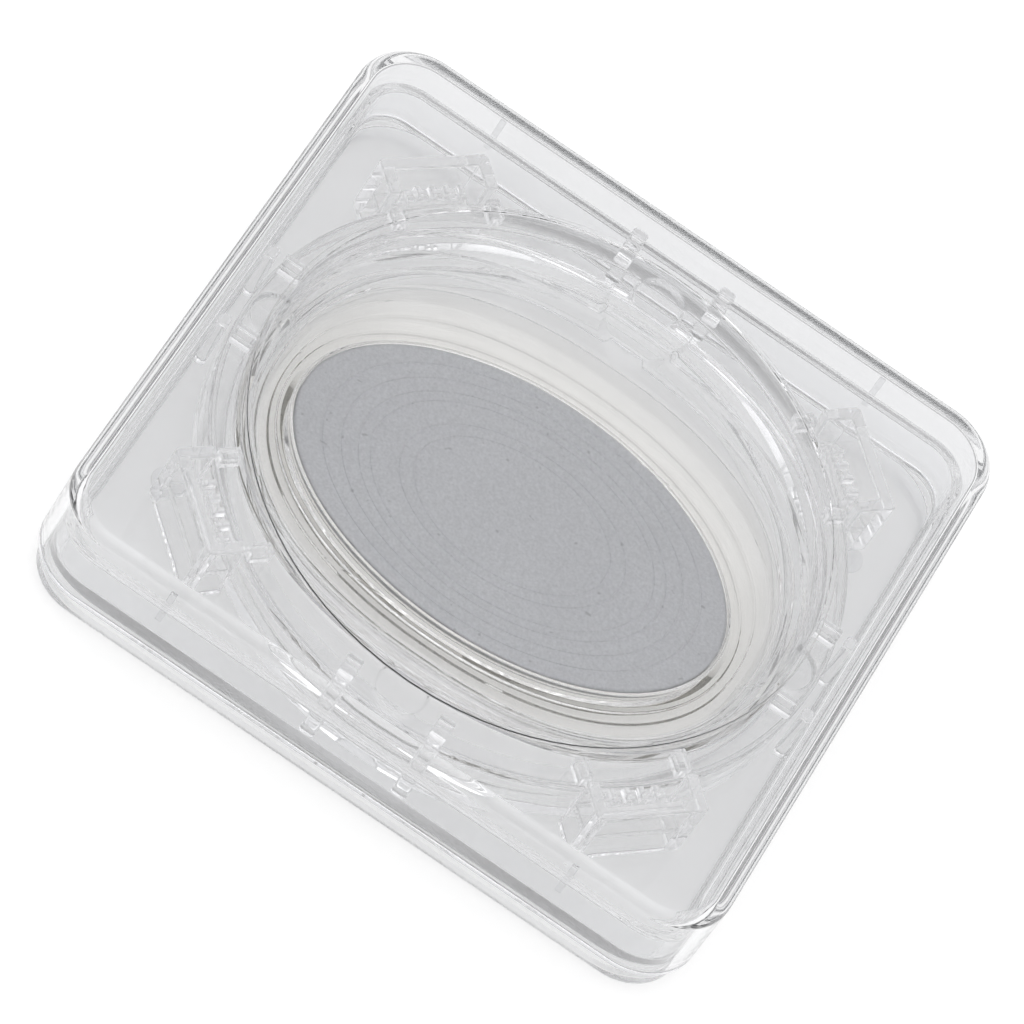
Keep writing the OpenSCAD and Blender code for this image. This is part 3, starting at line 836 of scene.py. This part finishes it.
def makeFloor(s):
    mesh = bpy.data.meshes.new("studioFloor")
    h = s["size"]
    corners = [(-h, -h, -0.0001), (h, -h, -0.0001), (h, h, -0.0001), (-h, h, -0.0001)]
    mesh.from_pydata(corners, [], [[0, 1, 2, 3]])
    floor = bpy.data.objects.new("studioFloor", mesh)
    bpy.context.scene.collection.objects.link(floor)
    material, nodes, links, shader, vector = startMaterial("paleFloor")
    fleck = placeGroup(nodes, links, fineSpeckle, vector, {"Scale": 60.0, "Strength": 0.05})
    share = mathNode(nodes, links, "ADD", fleck.outputs["Value"], 0.5)
    links.new(mixColour(nodes, links, share, (0.27, 0.27, 0.27, 1), (0.3, 0.3, 0.3, 1)),
              shader.inputs["Base Color"])
    shader.inputs["Roughness"].default_value = 0.9
    shader.inputs["Specular IOR Level"].default_value = 0.0
    shader.inputs["Emission Color"].default_value = (1, 1, 1, 1)
    shader.inputs["Emission Strength"].default_value = s["glow"]
    mesh.materials.append(material)
    return floor


def makeWorld():
    # Soft white tent: bright overhead, a darker band just above the floor
    world = bpy.data.worlds.new("lightTent")
    bpy.context.scene.world = world
    world.use_nodes = True
    nodes, links = world.node_tree.nodes, world.node_tree.links
    background = nodes["Background"]
    coordinates = nodes.new("ShaderNodeTexCoord")
    split = nodes.new("ShaderNodeSeparateXYZ")
    links.new(coordinates.outputs["Generated"], split.inputs[0])
    ramp = nodes.new("ShaderNodeValToRGB")
    stops = ramp.color_ramp.elements
    stops[0].position, stops[0].color = 0.0, (0.75, 0.75, 0.75, 1)
    stops[1].position, stops[1].color = 1.0, (2.5, 2.5, 2.5, 1)
    greys = ((0.03, 0.75), (0.06, 0.0), (0.17, 0.0), (0.2, 0.6), (0.5, 0.9), (0.79, 1.0), (0.9, 2.0))
    for place, grey in greys:
        stop = stops.new(place)
        stop.color = (grey, grey, grey * 1.01, 1)
    links.new(split.outputs["Z"], ramp.inputs["Fac"])
    links.new(ramp.outputs["Color"], background.inputs["Color"])
    background.inputs["Strength"].default_value = 1.0


lightPlan = {
    "overhead": {"place": (-0.5, 0.5, 1.1), "size": 1.2, "power": 2.0},
}


def makeLights(plan):
    for name, s in plan.items():
        data = bpy.data.lights.new(name, "AREA")
        data.shape = "SQUARE"
        data.size = s["size"]
        data.energy = s["power"]
        lamp = bpy.data.objects.new(name, data)
        lamp.visible_glossy = lamp.visible_transmission = False  # the tent gives the glints
        lamp.location = s["place"]
        lamp.rotation_euler = (-Vector(s["place"])).to_track_quat("-Z", "Y").to_euler()
        bpy.context.scene.collection.objects.link(lamp)


cameraPlan = {"elevation": 50.4, "azimuth": -1.15, "roll": 35.05, "distance": 1.1, "lens": 298.0,
              "aim": (-0.8, -4.35, 13.0)}


def makeCamera(s):
    # Looks at the aim from the near side, rolled so that the case stands turned in the frame
    elevation, azimuth, roll = (math.radians(s[k]) for k in ("elevation", "azimuth", "roll"))
    back = Vector((math.sin(azimuth) * math.cos(elevation), -math.cos(azimuth) * math.cos(elevation),
                   math.sin(elevation)))
    level = Vector((0, 0, 1)).cross(back).normalized()
    rise = back.cross(level)
    right = level * math.cos(roll) + rise * math.sin(roll)
    up = rise * math.cos(roll) - level * math.sin(roll)
    data = bpy.data.cameras.new("viewCamera")
    data.lens, data.sensor_width = s["lens"], 36.0
    camera = bpy.data.objects.new("viewCamera", data)
    bpy.context.scene.collection.objects.link(camera)
    place = Vector(s["aim"]) * mm + back * s["distance"]
    turn = Matrix((right, up, back)).transposed().to_4x4()
    camera.matrix_world = Matrix.Translation(place) @ turn
    data.clip_start, data.clip_end = 0.05, 20
    bpy.context.scene.camera = camera


makeFloor(floorLook)
makeWorld()
makeLights(lightPlan)
makeCamera(cameraPlan)

scene = bpy.context.scene
scene.view_settings.view_transform = "Standard"
scene.cycles.max_bounces = 60  # clear walls pass light on many times
scene.cycles.transmission_bounces = 56
scene.cycles.glossy_bounces = 40
scene.cycles.diffuse_bounces = 3
scene.cycles.sample_clamp_indirect = 6.0
scene.cycles.use_denoising = True
print("stage: stage, light and camera made")
